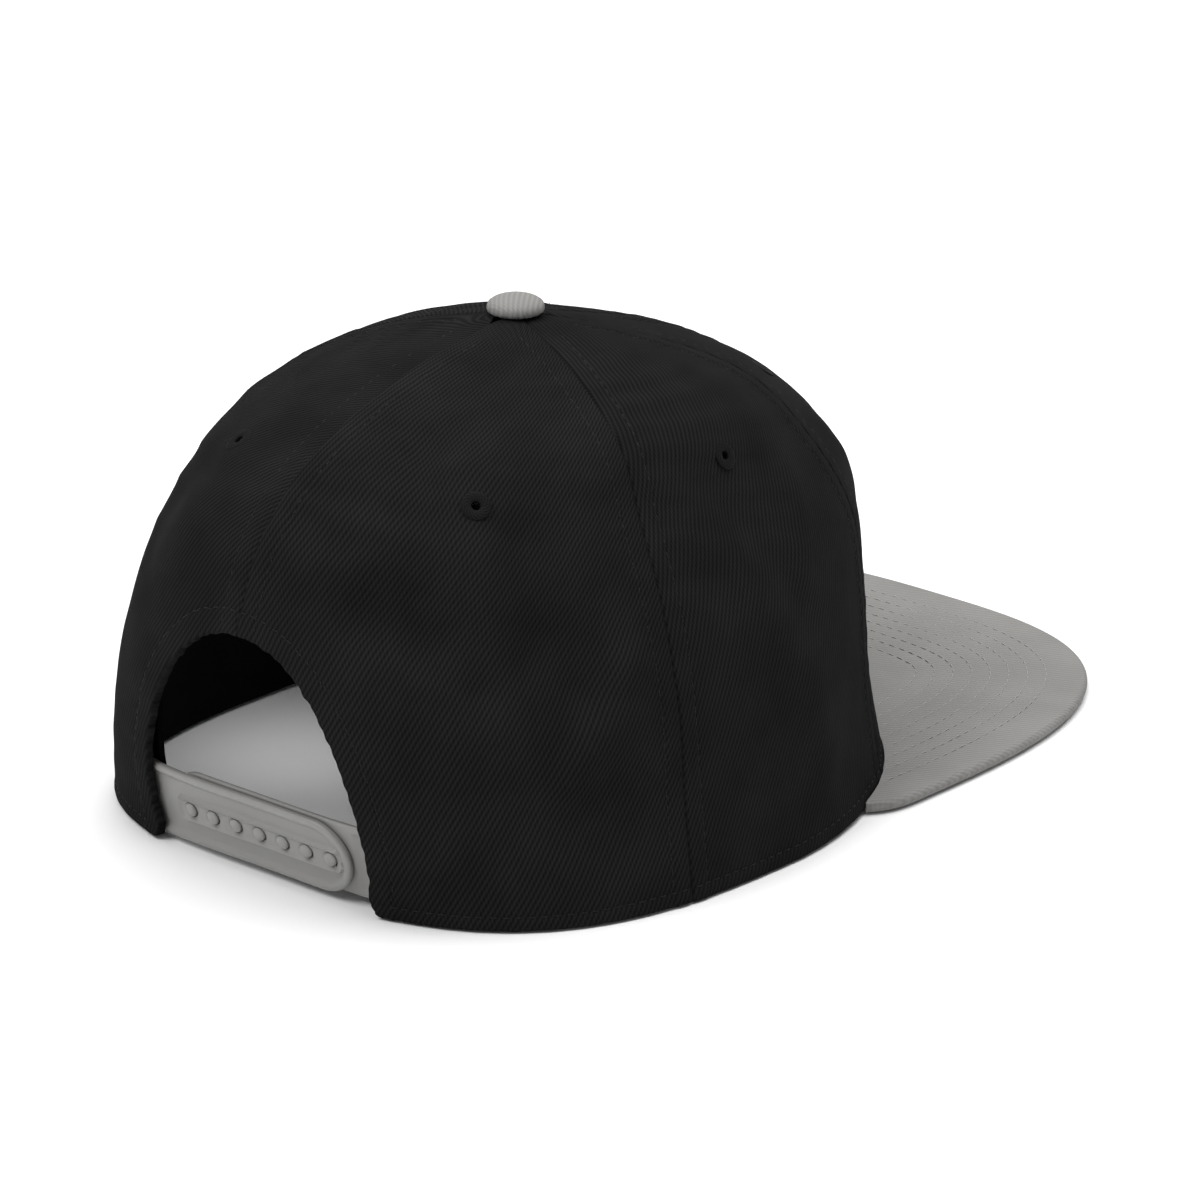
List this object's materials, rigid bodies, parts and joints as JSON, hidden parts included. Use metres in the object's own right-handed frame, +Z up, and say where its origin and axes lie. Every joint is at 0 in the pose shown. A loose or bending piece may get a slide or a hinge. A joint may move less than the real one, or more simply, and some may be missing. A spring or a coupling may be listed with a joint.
{
  "type": "snapback cap",
  "caption": "Six-panel cloth cap with a flat stitched visor, a covered top button, vent eyelets, and an arch at the back closed by a plastic snap strap",
  "frame": {"origin": "on the surface that the cap rests on, under the middle of its box", "axes": "+Z up, the visor points along -Y, the wearer's right is -X"},
  "size_m": [0.174, 0.2598, 0.1237],
  "materials": {
    "black_twill": "black woven twill with diagonal ribs, matte",
    "eyelet_thread": "black embroidery thread worked round each vent hole",
    "grey_twill": "light grey woven twill, matte",
    "black_band": "black cotton band, matte",
    "grey_plastic": "moulded grey plastic with a soft sheen"
  },
  "bodies": {
    "root": {"panel_front_right": "black_twill", "panel_front_left": "black_twill", "panel_side_right": "black_twill", "panel_side_left": "black_twill", "panel_back_right": "black_twill", "panel_back_left": "black_twill", "eyelet_front_right": "eyelet_thread", "eyelet_front_left": "eyelet_thread", "eyelet_side_right": "eyelet_thread", "eyelet_side_left": "eyelet_thread", "eyelet_back_right": "eyelet_thread", "eyelet_back_left": "eyelet_thread", "crown_button": "grey_twill", "visor": "grey_twill", "visor_underside": "grey_twill", "sweatband": "black_band", "snap_strap_sockets": "grey_plastic", "snap_strap_pegs": "grey_plastic"}
  },
  "joints": []
}
